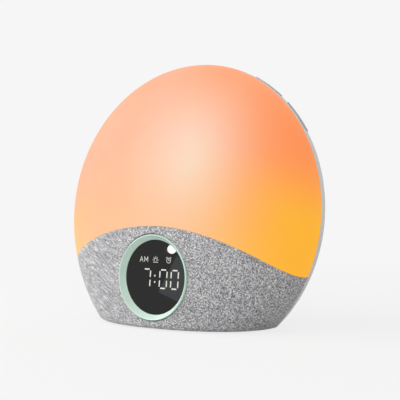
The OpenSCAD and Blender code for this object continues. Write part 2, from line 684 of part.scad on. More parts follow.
module speaker_screws() color("lightgray") leaned() for (sx = [-1, 1], sz = [-1, 1])
    translate([sx*spk_hold, gasket_y - 1.2, speaker_z + sz*spk_hold]) rotate([0, 0, 180])
        screw(2.3, 1.2, 1.1, 3.2, 0);

// ---- leads ----
function leaned_yz(y, z) = [rim_y + y*cos(lean_deg) + z*sin(lean_deg),
                            rim_z - y*sin(lean_deg) + z*cos(lean_deg)];
function display_yz(y, z) = [rim_y - display_y + y*cos(display_tilt) + z*sin(display_tilt),
                             display_z - y*sin(display_tilt) + z*cos(display_tilt)];
ribbon_w = 18;
ribbon_t = 0.4;
ribbon_sag = 6;
ribbon_steps = 20;
module ribbon_cable() color("white") {
    a = display_yz(board_y + board_t + socket_y + 0.05, -4);
    b = leaned_yz(board_front - socket_y, ribbon_z);
    line = [for (k = [0:ribbon_steps]) let (t = k/ribbon_steps)
        a + (b - a)*t - [0, ribbon_sag*pow(sin(180*t), 2)]];
    rotate([90, 0, 90]) linear_extrude(ribbon_w, center = true)
        polygon(concat(line, [for (k = [ribbon_steps:-1:0]) line[k] + [0, ribbon_t]]));
}

lead_r = 0.6;
lead_y = board_front - socket_y/2;
lead_bend = 4;
module speaker_leads() color("firebrick") leaned() for (x = [13, 15])
    translate([x, lead_y, -10.5]) cylinder(r = lead_r, h = speaker_z - 19.5 + 10.5);
module lamp_leads() color("goldenrod") leaned() for (x = [-1, 1]) {
    rod(lead_r, lamp_y - lamp_board_t, lead_y - lead_bend, x, lead_hole_z);
    translate([x, lead_y - lead_bend, lead_hole_z - lead_bend]) rotate([90, 0, 90])
        rotate_extrude(angle = 90) translate([lead_bend, 0]) circle(r = lead_r);
    translate([x, lead_y, -10.5]) cylinder(r = lead_r, h = lead_hole_z - lead_bend + 10.5);
}

diffuser_dome();
fabric_cover();
front_carrier();
bezel_ring();
display_lens();
digit_segments();
display_icons();
display_module();
display_board();
bezel_screws();
light_baffle();
lamp_reflector();
lamp_board();
white_leds();
amber_leds();
mid_frame();
front_screws();
base_plate();
base_screws();
rubber_feet();
rear_shell();
shell_screws();
rear_panel();
panel_screws();
right_upper_key();
right_lower_key();
left_upper_key();
left_lower_key();
right_key_board();
left_key_board();
right_switches();
left_switches();
key_board_screws();
rear_key_left();
rear_key_middle();
rear_key_right();
rear_switches();
main_board();
board_screws();
main_chips();
cell_holder();
backup_cell();
lead_sockets();
usb_c_inlet();
speaker_frame();
speaker_gasket();
speaker_surround();
speaker_cone();
speaker_dust_cap();
voice_coil();
speaker_magnet();
speaker_screws();
ribbon_cable();
speaker_leads();
lamp_leads();
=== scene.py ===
import json
import math

import bmesh
import bpy
from mathutils import Matrix, Vector

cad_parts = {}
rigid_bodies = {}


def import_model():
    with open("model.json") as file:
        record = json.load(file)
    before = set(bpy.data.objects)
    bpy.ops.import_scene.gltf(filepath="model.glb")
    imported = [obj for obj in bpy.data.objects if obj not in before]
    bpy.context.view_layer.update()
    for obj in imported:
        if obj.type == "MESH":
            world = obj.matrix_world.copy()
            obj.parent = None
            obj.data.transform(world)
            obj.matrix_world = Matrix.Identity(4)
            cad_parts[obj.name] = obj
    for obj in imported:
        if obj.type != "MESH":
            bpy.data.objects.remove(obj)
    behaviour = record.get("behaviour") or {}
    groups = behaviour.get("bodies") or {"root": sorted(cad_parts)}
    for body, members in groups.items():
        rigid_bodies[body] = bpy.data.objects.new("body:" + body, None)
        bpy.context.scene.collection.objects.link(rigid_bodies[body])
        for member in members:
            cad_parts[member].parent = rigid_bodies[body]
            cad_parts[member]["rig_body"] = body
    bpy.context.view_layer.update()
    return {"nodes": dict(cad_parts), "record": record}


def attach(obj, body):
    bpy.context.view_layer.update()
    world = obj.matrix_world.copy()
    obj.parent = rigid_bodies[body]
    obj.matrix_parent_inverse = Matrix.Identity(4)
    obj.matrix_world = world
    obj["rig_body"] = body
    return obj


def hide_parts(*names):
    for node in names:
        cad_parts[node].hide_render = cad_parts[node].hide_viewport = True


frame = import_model()

MM = 0.001

# The body's outline, in millimetres: the same named values as the part's own source
HEIGHT = 185
RIM_R = 106  # radius of the round rim
RIM_Y, RIM_Z = 7.05, HEIGHT - RIM_R  # middle of the rim
LEAN = 0.10  # how far the rim plane goes back for each millimetre up
FRONT_DEPTH = 48  # from the rim plane to the foremost point, at the height BULGE_Z
BULGE_Z = 70
FOOT_DEPTH = 44.5  # the same on the table
FOOT_POWER = 1.7
SECTION_POWER = 2.2  # roundness of the front's level sections: 2 is an ellipse
BASE_Z = 1  # lower edge of the cloth above the table
FOLD_R = 3.4  # the cloth's rounded fold at its lower edge
HILL_TOP = 72  # height of the line between cloth and dome, in the middle
HILL_DROP = 34.5  # how much lower that line is at the sides
HILL_GAP = 0.3
CORNER_R = 7  # rounded foot corners of the outline
CORNER_Z = BASE_Z + CORNER_R
CORNER_X = math.sqrt((RIM_R - CORNER_R) ** 2 - (RIM_Z - CORNER_Z) ** 2)
TANGENT_Z = RIM_Z + RIM_R * (CORNER_Z - RIM_Z) / (RIM_R - CORNER_R)  # where corner and rim meet
DOME_WALL, CLOTH_WALL = 2.4, 0.9
DOME_EDGE, CLOTH_EDGE, KEY_EDGE = 0.3, 0.28, 0.35  # widths of the rounded edges

# The round display: its middle ahead of the rim, its height and how far its face looks up
DISPLAY_Y, DISPLAY_Z, DISPLAY_TILT = 50.9, 36.6, math.radians(4)
BEZEL_R = 29.8
HOLE_R = BEZEL_R + 0.6
GLASS_R = 26
LENS_R = GLASS_R + 1.2
FUNNEL = 4.1  # depth of the window behind the ring's lip


def half_width(z):
    """Half the outline's width: the round rim, and below it a rounded foot corner."""
    if z < TANGENT_Z:
        return CORNER_X + math.sqrt(max(0, CORNER_R ** 2 - (CORNER_Z - z) ** 2))
    return math.sqrt(max(0, RIM_R ** 2 - (z - RIM_Z) ** 2))


def fold_in(z):
    """How far the cloth has turned in at its lower edge."""
    rise = z - BASE_Z
    if rise >= FOLD_R:
        return 0
    return FOLD_R - math.sqrt(max(0, FOLD_R ** 2 - (FOLD_R - max(0, rise)) ** 2))


def front_run(z):
    """Depth of the front's middle ahead of the rim plane."""
    if z > BULGE_Z:
        return FRONT_DEPTH * math.sqrt(max(0, 1 - ((z - BULGE_Z) / (HEIGHT - BULGE_Z)) ** 2))
    return FRONT_DEPTH - (FRONT_DEPTH - FOOT_DEPTH) * ((BULGE_Z - z) / BULGE_Z) ** FOOT_POWER - fold_in(z)


def section(u):
    """Share of the depth that is left at u, which runs from -1 to 1 across the front."""
    return max(0, 1 - abs(u) ** SECTION_POWER) ** (1 / SECTION_POWER)


def rim_at(z):
    """Where the leaning rim plane is at this height."""
    return RIM_Y + LEAN * (z - RIM_Z)


def front_point(u, z):
    return Vector((half_width(z) * u, rim_at(z) - front_run(z) * section(u), z))


def hill(u):
    """Height of the arched line between cloth and dome."""
    return HILL_TOP - HILL_DROP * u * u


def crowd(t):
    """Spreads -1..1 so that rows draw together towards both sides."""
    return math.sin(t * math.pi / 2)


# ---- mesh helpers ----
# The display's own axes: X across, Y into the clock, Z up its face
DISPLAY = Matrix.Translation((0, RIM_Y - DISPLAY_Y, DISPLAY_Z)) @ Matrix.Rotation(-DISPLAY_TILT, 4, "X")
SHARP_ANGLE = math.radians(35)


def finished(name, bm, material, body, *nodes, slot=None, sharp=True):
    """Turns a bmesh in millimetres into a piece in its place, riding on its body."""
    bmesh.ops.scale(bm, vec=(MM, MM, MM), verts=bm.verts)
    mesh = bpy.data.meshes.new(name)
    bm.to_mesh(mesh)
    bm.free()
    mesh.materials.append(material)
    mesh.shade_smooth()
    if sharp:
        mesh.set_sharp_from_angle(angle=SHARP_ANGLE)
    piece = bpy.data.objects.new(name, mesh)
    bpy.context.scene.collection.objects.link(piece)
    if nodes:
        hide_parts(*nodes)
    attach(piece, body)
    return piece


def soft_edges(piece, width):
    """Rounds the edges of a piece, with a width in millimetres."""
    bevel = piece.modifiers.new("soft_edges", "BEVEL")
    bevel.width = width * MM
    bevel.segments = 3
    bevel.limit_method = "ANGLE"
    bevel.angle_limit = math.radians(30)
    bevel.harden_normals = True


def walled(piece, thickness):
    """Gives an open surface its wall, inwards from its outer face."""
    wall = piece.modifiers.new("wall", "SOLIDIFY")
    wall.thickness = thickness * MM
    wall.offset = -1
    wall.use_even_offset = True


def turned(profile, steps=144):
    """A closed outline of (radius, y) pairs spun about the display's axis and set in the display's place."""
    bm = bmesh.new()
    verts = [bm.verts.new((r, y, 0)) for r, y in profile]
    for a, b in zip(verts, verts[1:] + verts[:1]):
        bm.edges.new((a, b))
    bmesh.ops.spin(bm, geom=bm.verts[:] + bm.edges[:], cent=(0, 0, 0), axis=(0, 1, 0), angle=2 * math.pi,
                   steps=steps, use_merge=True)
    bmesh.ops.remove_doubles(bm, verts=bm.verts, dist=1e-4)
    bmesh.ops.recalc_face_normals(bm, faces=bm.faces)
    bmesh.ops.transform(bm, matrix=DISPLAY, verts=bm.verts)
    return bm


def facing_front(bm):
    """Makes an open sheet's faces look forwards, away from its wall."""
    bmesh.ops.recalc_face_normals(bm, faces=bm.faces)
    if sum(face.normal.y for face in bm.faces) > 0:
        bmesh.ops.reverse_faces(bm, faces=bm.faces)


# ---- material helpers ----
def srgb(text):
    """Linear colour of a hex code."""
    parts = [int(text[i:i + 2], 16) / 255 for i in (0, 2, 4)]
    return [c / 12.92 if c <= 0.04045 else ((c + 0.055) / 1.055) ** 2.4 for c in parts] + [1]


def dimmed(colour, share):
    """The colour times share, kept below white."""
    return [min(1, c * share) for c in colour[:3]] + [1]


class Nodes:
    """Short ways to add nodes to a node tree."""

    def __init__(self, tree):
        self.tree = tree

    def fill(self, node, values):
        """Sets or links sockets, which are given by number or by name."""
        for key, value in values.items():
            if isinstance(value, bpy.types.NodeSocket):
                self.tree.links.new(value, node.inputs[key])
            else:
                node.inputs[key].default_value = value

    def node(self, kind, *ordered, **named):
        """A new node, with its first sockets filled in order and others by name."""
        made = self.tree.nodes.new("ShaderNode" + kind)
        self.fill(made, dict(enumerate(ordered)) | named)
        return made

    def place(self, source="Object"):
        return self.node("TexCoord").outputs[source]

    def calc(self, operation, *values):
        made = self.node("Math", *values)
        made.operation = operation
        return made.outputs[0]

    def ramp(self, value, low, high, out_low=0.0, out_high=1.0, shape="LINEAR"):
        """Goes from out_low to out_high while value goes from low to high, and stays within them."""
        made = self.node("MapRange", **{"Value": value, "From Min": low, "From Max": high,
                                        "To Min": out_low, "To Max": out_high})
        made.interpolation_type = shape
        return made.outputs["Result"]

    def mix(self, share, a, b):
        """Colour a, which gives way to b as share goes from 0 to 1."""
        made = self.tree.nodes.new("ShaderNodeMix")
        made.data_type = "RGBA"
        self.fill(made, {0: share, 6: a, 7: b})
        return made.outputs[2]

    def noise(self, place, scale, detail=3, roughness=0.5):
        return self.node("TexNoise", Vector=place, Scale=scale, Detail=detail, Roughness=roughness).outputs[0]

    def varied(self, place, scale, detail, low, high):
        """A soft cloud between two numbers."""
        return self.ramp(self.noise(place, scale, detail), 0.3, 0.7, low, high)

    def stretched(self, place, scale, turn=0.0):
        return self.node("Mapping", Vector=place, Scale=scale, Rotation=(0, 0, turn)).outputs[0]

    def shown_ray(self):
        """1 for what the camera sees straight on or in a gloss, 0 for what only lights the clock."""
        path = self.node("LightPath")
        return self.calc("MAXIMUM", path.outputs["Is Camera Ray"], path.outputs["Is Glossy Ray"])


class Finish(Nodes):
    """A material, its shader and short ways to add to them."""

    def __init__(self, name, colour, roughness=0.5):
        self.material = bpy.data.materials.new(name)
        self.material.use_nodes = True
        super().__init__(self.material.node_tree)
        self.shader = self.tree.nodes["Principled BSDF"]
        self.set("Base Color", colour)
        self.set("Roughness", roughness)

    def set(self, socket, value):
        self.shader.inputs[socket].default_value = value

    def link(self, value, socket):
        self.tree.links.new(value, self.shader.inputs[socket])

    def bump(self, height, strength, distance):
        self.link(self.node("Bump", Height=height, Strength=strength, Distance=distance).outputs[0], "Normal")


def moulded(name, colour, roughness=0.5, grain=0.00045, depth=0.00004):
    """Moulded plastic or rubber: a fine spark texture, a slight cloud in the colour, worn gloss."""
    f = Finish(name, colour, roughness)
    at = f.place()
    f.link(f.mix(f.varied(at, 35, 4, 0, 1), dimmed(colour, 0.94), dimmed(colour, 1.06)), "Base Color")
    f.link(f.varied(at, 140, 3, roughness - 0.06, roughness + 0.07), "Roughness")
    f.bump(f.noise(at, 1 / grain, 2, 0.6), 0.35, depth)
    return f.material


def plated(name, colour, roughness=0.32):
    """Plated steel with fine turning marks and a few dull patches."""
    f = Finish(name, colour, roughness)
    f.set("Metallic", 1)
    at = f.place()
    patches = f.ramp(f.noise(at, 120, 2), 0.45, 0.7)
    f.link(f.mix(patches, colour, dimmed(colour, 0.75)), "Base Color")
    f.link(f.varied(at, 300, 3, roughness - 0.08, roughness + 0.14), "Roughness")
    f.bump(f.noise(f.stretched(at, (1, 12, 1)), 900, 3), 0.2, 0.00003)
    return f.material


def board(name, mask, track):
    """Circuit board: tracks just lighter than the solder mask."""
    f = Finish(name, mask, 0.35)
    at = f.place()
    bricks = f.node("TexBrick", **{"Vector": at, "Scale": 260, "Mortar Size": 0.03, "Brick Width": 1.3,
                                   "Row Height": 0.35})
    lines = bricks.outputs["Fac"]
    f.link(f.mix(lines, mask, track), "Base Color")
    f.bump(lines, 0.4, 0.00003)
    f.link(f.varied(at, 200, 2, 0.28, 0.42), "Roughness")
    return f.material


def glowing_dome():
    """The lit diffuser: peach on the left and orange on the right, partly its own glow and partly painted
    light from the left, a pale core, amber down by the cloth.

    All places are in metres.
    """
    f = Finish("lit_diffuser", srgb("fdb58a"), 0.6)
    at = f.place()
    parts = f.node("SeparateXYZ", at)
    x, z = parts.outputs["X"], parts.outputs["Z"]
    # the paler peach on the left is partly painted light, standing in for the key lamp on that side
    tone = f.mix(f.ramp(x, -0.0194, 0.0359, shape="SMOOTHSTEP"), srgb("ffae8a"), srgb("fd9254"))

    # the pale core fades out over an ellipse
    core_x, core_z, core_width, core_height = 0.0245, 0.1135, 0.0786, 0.1126
    far = f.node("VectorMath", f.stretched(at, (1 / core_width, 0, 1 / core_height)),
                 (core_x / core_width, 0, core_z / core_height))
    far.operation = "DISTANCE"
    core = f.ramp(far.outputs["Value"], -0.3, 1, 1, 0, "SMOOTHERSTEP")
    tone = f.mix(core, tone, srgb("f2ddc9"))

    # the amber rises from the cloth's arched line, and is taller on the far side
    hill_line = f.ramp(f.calc("MULTIPLY", x, x), 0, 0.105 ** 2, 0.0725, 0.038)
    above = f.calc("SUBTRACT", z, hill_line)
    low = f.ramp(above, 0, 0.0654, 0.71, 0)
    far_low = f.ramp(above, 0.03, 0.082, 0.66, 0, "SMOOTHSTEP")
    low = f.calc("ADD", low, f.calc("MULTIPLY", f.calc("SUBTRACT", far_low, low), f.ramp(x, 0.06, 0.1)))
    amber = f.mix(f.ramp(x, 0.0128, 0.1017, shape="SMOOTHSTEP"), srgb("f7c594"), srgb("fec300"))
    left_glow = f.calc("MULTIPLY", f.ramp(x, -0.1, -0.055, 1, 0), f.ramp(above, 0.028, 0.05, 1, 0))
    amber = f.mix(left_glow, amber, srgb("fdd17a"))
    tone = f.mix(low, tone, amber)

    f.link(tone, "Emission Color")
    f.set("Emission Strength", 0.87)
    f.set("Specular IOR Level", 0.25)
    f.link(f.mix(0.86, tone, (0, 0, 0, 1)), "Base Color")
    f.link(f.varied(at, 90, 3, 0.56, 0.66), "Roughness")
    f.bump(f.noise(at, 2600, 2), 0.15, 0.00003)
    return f.material


def heather_cloth():
    """Grey heather twill: each warp yarn passes over two wefts, and every float has a shade of its own, with
    painted shade on the lower weft floats and in the gaps between the floats.
    """
    f = Finish("heather_cloth", srgb("a8a7a9"), 0.85)
    at = f.place("UV")
    yarn = 0.0005
    parts = f.node("SeparateXYZ", f.stretched(at, (1 / yarn, 1 / yarn, 1)))
    across, up = parts.outputs["X"], parts.outputs["Y"]
    warp_no, weft_no = f.calc("FLOOR", across), f.calc("FLOOR", up)
    course = f.calc("DIVIDE", f.calc("ADD", warp_no, weft_no), 3)
    on_top = f.calc("GREATER_THAN", f.calc("FRACT", course), 0.2)

    def shade_of(*numbers):
        return f.node("TexWhiteNoise", Vector=f.node("CombineXYZ", *numbers).outputs[0]).outputs["Value"]

    def ribs(slope, length, width):
        """Slanting threads that show through, in yarns: each row of them has its own joints and shades."""
        c, s = math.cos(math.radians(slope)), math.sin(math.radians(slope))
        along = f.calc("ADD", f.calc("MULTIPLY", across, c / length), f.calc("MULTIPLY", up, s / length))
        row = f.calc("FLOOR", f.calc("SUBTRACT", f.calc("MULTIPLY", up, c / width),
                                     f.calc("MULTIPLY", across, s / width)))
        return shade_of(row, f.calc("FLOOR", f.calc("ADD", along, shade_of(row))))

    # shades: single yarns, each with a tone at random and painted shade on the lower weft floats, the fibres
    # in them, and ribs on the left that give way to single yarns
    # weft floats, which lie lower, keep 0.7 of their tone: painted shade
    yarn_shade = f.calc("MULTIPLY", shade_of(warp_no, weft_no), f.ramp(on_top, 0, 1, 0.7, 1))
    fibre = f.noise(f.stretched(at, (1, 0.3, 1)), 5200, 3, 0.65)
    rib = f.mix(f.ramp(across, -90, -20), ribs(-29, 9, 1.4), yarn_shade)
    yarn_share, fibre_share, rib_share = 0.48, 0.17, 0.35
    single = f.calc("ADD", f.calc("MULTIPLY", yarn_shade, yarn_share), f.calc("MULTIPLY", fibre, fibre_share))
    mixed = f.calc("ADD", single, f.calc("MULTIPLY", rib, rib_share))
    tone = f.node("ValToRGB", mixed)
    stops = tone.color_ramp.elements
    stops[0].position, stops[0].color = 0.0, srgb("39383c")
    stops[1].position, stops[1].color = 0.86, srgb("ffffff")
    for position, colour in ((0.3, "7d7c80"), (0.66, "cbcacc")):
        stops.new(position).color = srgb(colour)

    # every float is round, and painted shade darkens the gaps between the floats
    warp_round = f.calc("SINE", f.calc("MULTIPLY", f.calc("FRACT", across), math.pi))
    weft_round = f.calc("SINE", f.calc("MULTIPLY", f.calc("FRACT", up), math.pi))
    height = f.calc("ADD", f.calc("MULTIPLY", warp_round, on_top),
                    f.calc("MULTIPLY", f.calc("MULTIPLY", weft_round, 0.7), f.calc("SUBTRACT", 1.0, on_top)))
    # painted shade: the low gaps between floats are mixed towards dark grey
    f.link(f.mix(f.ramp(height, 0.0, 0.6, 0.35, 0.0), tone.outputs[0], srgb("57565a")), "Base Color")
    f.set("Sheen Weight", 0.7)
    f.set("Sheen Roughness", 0.4)
    f.bump(f.calc("ADD", height, f.calc("MULTIPLY", fibre, 0.4)), 0.6, 0.00016)
    return f.material


def mint_ring_finish():
    """Satin painted moulding: an even pale mint with a fine orange-peel."""
    f = Finish("mint_satin", srgb("cae2d5"), 0.36)
    at = f.place()
    f.link(f.mix(f.varied(at, 60, 3, 0, 1), srgb("c6dfd1"), srgb("cee6d9")), "Base Color")
    f.link(f.varied(at, 180, 3, 0.32, 0.42), "Roughness")
    f.set("Specular IOR Level", 0.5)
    f.bump(f.noise(at, 1500, 2), 0.2, 0.00003)
    return f.material


def smoked_window():
    """Polished smoked window with faint wiping marks. It has no bump, so that its reflections stay clean."""
    f = Finish("smoked_window", srgb("0f0f10"), 0.06)
    f.set("Specular IOR Level", 0.3)
    smear = f.noise(f.stretched(f.place(), (1, 1, 3), 0.6), 90, 4)
    f.link(f.ramp(smear, 0.35, 0.75, 0.006, 0.018), "Roughness")
    f.link(f.mix(f.ramp(smear, 0.3, 0.7), srgb("0d0d0e"), srgb("111112")), "Base Color")
    return f.material


def lit_sign():
    """Lit segments: a warm white with a faint cloud."""
    f = Finish("lit_sign", srgb("c9cabf"), 0.5)
    tone = f.mix(f.varied(f.place(), 700, 2, 0, 1), srgb("cfd0c3"), srgb("e2e3d8"))
    f.link(tone, "Emission Color")
    f.set("Emission Strength", 0.75)
    f.link(f.mix(0.7, tone, (0, 0, 0, 1)), "Base Color")
    return f.material


# ---- lamp dome and cloth ----
DOME_COLS, DOME_ROWS = 168, 120
CLOTH_COLS, CLOTH_ROWS = 236, 84
ROW_POWER = 1.6  # draws the cloth's rows together at its fold


def formed(columns, rows, height):
    """A flat grid laid on the front's surface. height gives Z for u from -1 to 1 and v from 0 to 1."""
    bm = bmesh.new()
    bmesh.ops.create_grid(bm, x_segments=columns, y_segments=rows, size=1)
    for vert in bm.verts:
        u, v = crowd(vert.co.x), (vert.co.y + 1) / 2
        vert.co = front_point(u, height(u, v))
    return bm


def dome_height(u, v):
    start = math.asin((hill(u) - RIM_Z) / RIM_R)
    return RIM_Z + RIM_R * math.sin(start + (math.pi / 2 - start) * v)


def cloth_height(u, v):
    return BASE_Z + (hill(u) - HILL_GAP - BASE_Z) * v ** ROW_POWER


bm = formed(DOME_COLS, DOME_ROWS, dome_height)
bmesh.ops.remove_doubles(bm, verts=bm.verts, dist=1e-3)
facing_front(bm)
dome = finished("lamp_dome", bm, glowing_dome(), "body", "diffuser_dome", slot="diffuser", sharp=False)
walled(dome, DOME_WALL)
soft_edges(dome, DOME_EDGE)


def cloth_lengths(bm, columns, rows):
    """Lays a UV map on the cloth: real lengths along its rows and up its columns, in metres."""
    uv = bm.loops.layers.uv.new("cloth")
    bm.verts.ensure_lookup_table()
    grid = [[bm.verts[j * (columns + 1) + i].co.copy() for i in range(columns + 1)] for j in range(rows + 1)]
    place = {}
    up = [0.0] * (columns + 1)
    for j, row in enumerate(grid):
        if j:
            up = [t + (row[i] - grid[j - 1][i]).length for i, t in enumerate(up)]
        run = [0.0]
        for a, b in zip(row, row[1:]):
            run.append(run[-1] + (b - a).length)
        for i in range(columns + 1):
            place[j * (columns + 1) + i] = ((run[i] - run[columns // 2]) * MM, up[i] * MM)
    for face in bm.faces:
        for loop in face.loops:
            loop[uv].uv = place[loop.vert.index]


def cut_round_hole(bm, radius):
    """Opens the cloth round the display and draws the cut edge onto a true circle."""
    inside = DISPLAY.inverted()

    def in_hole(face):
        middle = face.calc_center_median()
        return middle.y < 0 and math.hypot(*(inside @ middle).xz) < radius

    bmesh.ops.delete(bm, geom=[face for face in bm.faces if in_hole(face)], context="FACES")
    cut_edge_reach = radius + 4
    for vert in bm.verts:
        spot = inside @ vert.co
        reach = math.hypot(spot.x, spot.z)
        if not vert.is_boundary or reach > cut_edge_reach:
            continue
        goal = Vector((spot.x * radius / reach, spot.y, spot.z * radius / reach))
        for _ in range(4):  # settles its depth on the front's surface
            world = DISPLAY @ goal
            goal.y += rim_at(world.z) - front_run(world.z) * section(world.x / half_width(world.z)) - world.y
        vert.co = DISPLAY @ goal


bm = formed(CLOTH_COLS, CLOTH_ROWS, cloth_height)
cloth_lengths(bm, CLOTH_COLS, CLOTH_ROWS)
cut_round_hole(bm, HOLE_R)
facing_front(bm)
CLOTH_AREA = sum(face.calc_area() for face in bm.faces) * MM * MM
cloth = finished("front_cloth", bm, heather_cloth(), "body", "fabric_cover", slot="fabric", sharp=False)
walled(cloth, CLOTH_WALL)
soft_edges(cloth, CLOTH_EDGE)

# ---- display ----
TUBE_END = 8  # the ring's tube goes this far into the carrier
LENS_T = 1.5
ring = turned([
    (BEZEL_R, TUBE_END), (BEZEL_R, 0.55), (BEZEL_R - 0.06, 0.3), (BEZEL_R - 0.22, 0.1), (BEZEL_R - 0.45, 0.0),
    (BEZEL_R - 0.75, 0.03), (BEZEL_R - 1.0, 0.22), (BEZEL_R - 1.15, 0.42), (GLASS_R + 0.2, FUNNEL - 0.3),
    (GLASS_R + 0.04, FUNNEL - 0.16), (GLASS_R, FUNNEL), (LENS_R + 0.1, FUNNEL), (LENS_R + 0.1, TUBE_END)])
finished("display_ring", ring, mint_ring_finish(), "body", "bezel_ring", slot="mint_ring")

window = turned([
    (0, FUNNEL), (LENS_R - 0.6, FUNNEL), (LENS_R - 0.3, FUNNEL), (LENS_R - 0.08, FUNNEL + 0.08),
    (LENS_R, FUNNEL + 0.3), (LENS_R, FUNNEL + LENS_T), (0, FUNNEL + LENS_T)])
finished("display_window", window, smoked_window(), "body", "display_lens", slot="window")

SIGN_FINISH = lit_sign()
SIGN_FRONT, SIGN_T = FUNNEL - 0.05, 0.3  # front face and thickness of what is lit
# Digits
STROKE = 0.95
STROKE_GAP = STROKE * 1.45  # from a digit's corner to the end of a segment's middle line
DIGIT_H, DIGIT_W, DIGIT_Z = 12.7, 6.2, -1  # size between the segments' middle lines
SLANT = math.tan(math.radians(2.5))
SEVEN, ZERO = (0, 1, 2), (0, 1, 2, 3, 4, 5)  # numbers of the lit segments
DIGITS = ((-7.4, SEVEN), (7.15, ZERO), (17.05, ZERO))
COLON_X, COLON_ZS, COLON_R = -0.2, (-3.3, 1.1), 0.65
# Signs in the row above the digits
SIGN_Z, SIGN_W = 12, 0.36
LETTER_FOOT, LETTER_TOP = SIGN_Z - 1.6, SIGN_Z + 1.95
A_X, A_HALF = -12.45, 1.35
M_X, M_HALF = -8.3, 1.45
SUN_X, SUN_R, SUN_HALF, RAY_IN, RAY_OUT, RAY_W = 0.1, 1.28, 2, 1.95, 2.4, 0.38
ALARM_X, ALARM_R, HAND_W = 11.5, 1.73, 0.4


def bar(bm, a, b, width, shift=(0, 0), slant=0.0):
    """A round-ended stroke from a to b, both (x, z), on the window's face."""
    run = Vector(b) - Vector(a)
    made = bmesh.ops.create_cube(bm, size=1)["verts"]
    bmesh.ops.scale(bm, vec=(run.length + width, SIGN_T, width), verts=made)
    ends = [e for e in bm.edges if e.verts[0] in made and e.verts[1] in made
            and abs(e.verts[0].co.y - e.verts[1].co.y) > SIGN_T / 2]
    rounded = bmesh.ops.bevel(bm, geom=ends, offset=width * 0.48, segments=4, profile=0.5, affect="EDGES",
                              material=-1)["verts"]
    verts = list(set(rounded) | {v for v in made if v.is_valid})
    turn = Matrix.Rotation(-math.atan2(run.y, run.x), 3, "Y")
    bmesh.ops.rotate(bm, cent=(0, 0, 0), matrix=turn, verts=verts)
    middle = (Vector(a) + Vector(b)) / 2
    for vert in verts:
        z = vert.co.z + middle.y
        vert.co = Vector((vert.co.x + middle.x + slant * z + shift[0], vert.co.y + SIGN_FRONT + SIGN_T / 2,
                          z + shift[1]))


def dot(bm, x, z, radius):
    made = bmesh.ops.create_cone(bm, cap_ends=True, segments=20, radius1=radius, radius2=radius,
                                 depth=SIGN_T)["verts"]
    bmesh.ops.rotate(bm, cent=(0, 0, 0), matrix=Matrix.Rotation(math.pi / 2, 3, "X"), verts=made)
    bmesh.ops.translate(bm, vec=(x, SIGN_FRONT + SIGN_T / 2, z), verts=made)


def around(x, radius, angle):
    """A point (x, z) round the middle of a sign. The angle is in degrees."""
    return x + radius * math.cos(math.radians(angle)), SIGN_Z + radius * math.sin(math.radians(angle))


def arc(bm, x, radius, start, sweep, count):
    """Short strokes along an arc round the middle of a sign."""
    spots = [around(x, radius, start + sweep * k / count) for k in range(count + 1)]
    for a, b in zip(spots, spots[1:]):
        bar(bm, a, b, SIGN_W)


def digit_strokes(w, h):
    """The middle lines of seven segments, clockwise from the top, with the middle one last."""
    g, t, m = STROKE_GAP, h / 2, w / 2
    return [((-m + g, t), (m - g, t)), ((m, t - g), (m, g)), ((m, -g), (m, -t + g)),
            ((m - g, -t), (-m + g, -t)), ((-m, -t + g), (-m, -g)), ((-m, g), (-m, t - g)),
            ((-m + g, 0), (m - g, 0))]


digits = bmesh.new()
for middle, lit in DIGITS:
    for k in lit:
        start, end = digit_strokes(DIGIT_W, DIGIT_H)[k]
        bar(digits, start, end, STROKE, (middle, DIGIT_Z), SLANT)
for z in COLON_ZS:
    dot(digits, COLON_X, z, COLON_R)
bmesh.ops.transform(digits, matrix=DISPLAY, verts=digits.verts)
finished("lit_digits", digits, SIGN_FINISH, "body", "digit_segments", slot="lit_signs")

signs = bmesh.new()
# AM
for s in (-1, 1):
    bar(signs, (A_X + A_HALF * s, LETTER_FOOT), (A_X, LETTER_TOP), SIGN_W)
    bar(signs, (M_X + M_HALF * s, LETTER_FOOT), (M_X + M_HALF * s, LETTER_TOP), SIGN_W)
    bar(signs, (M_X + M_HALF * s, LETTER_TOP), (M_X, SIGN_Z - 0.7), SIGN_W)
bar(signs, (A_X - 0.7, SIGN_Z - 0.4), (A_X + 0.7, SIGN_Z - 0.4), SIGN_W)
# the rising sun on its line
bar(signs, (SUN_X - SUN_HALF, LETTER_FOOT), (SUN_X + SUN_HALF, LETTER_FOOT), SIGN_W)
for angle in range(0, 181, 45):
    bar(signs, around(SUN_X, RAY_IN, angle), around(SUN_X, RAY_OUT, angle), RAY_W)
arc(signs, SUN_X, SUN_R, -35, 250, 9)
# the alarm clock with its hands and bells
arc(signs, ALARM_X, ALARM_R, 0, 360, 14)
bar(signs, (ALARM_X, SIGN_Z), (ALARM_X, SIGN_Z + 0.95), HAND_W)
bar(signs, (ALARM_X, SIGN_Z), (ALARM_X + 0.6, SIGN_Z), HAND_W)
for s in (-1, 1):
    bar(signs, (ALARM_X + s * 1.2, SIGN_Z + 2.35), (ALARM_X + s * 2.1, SIGN_Z + 1.65), SIGN_W)
bmesh.ops.transform(signs, matrix=DISPLAY, verts=signs.verts)
finished("lit_icons", signs, SIGN_FINISH, "body", "display_icons", slot="lit_signs")

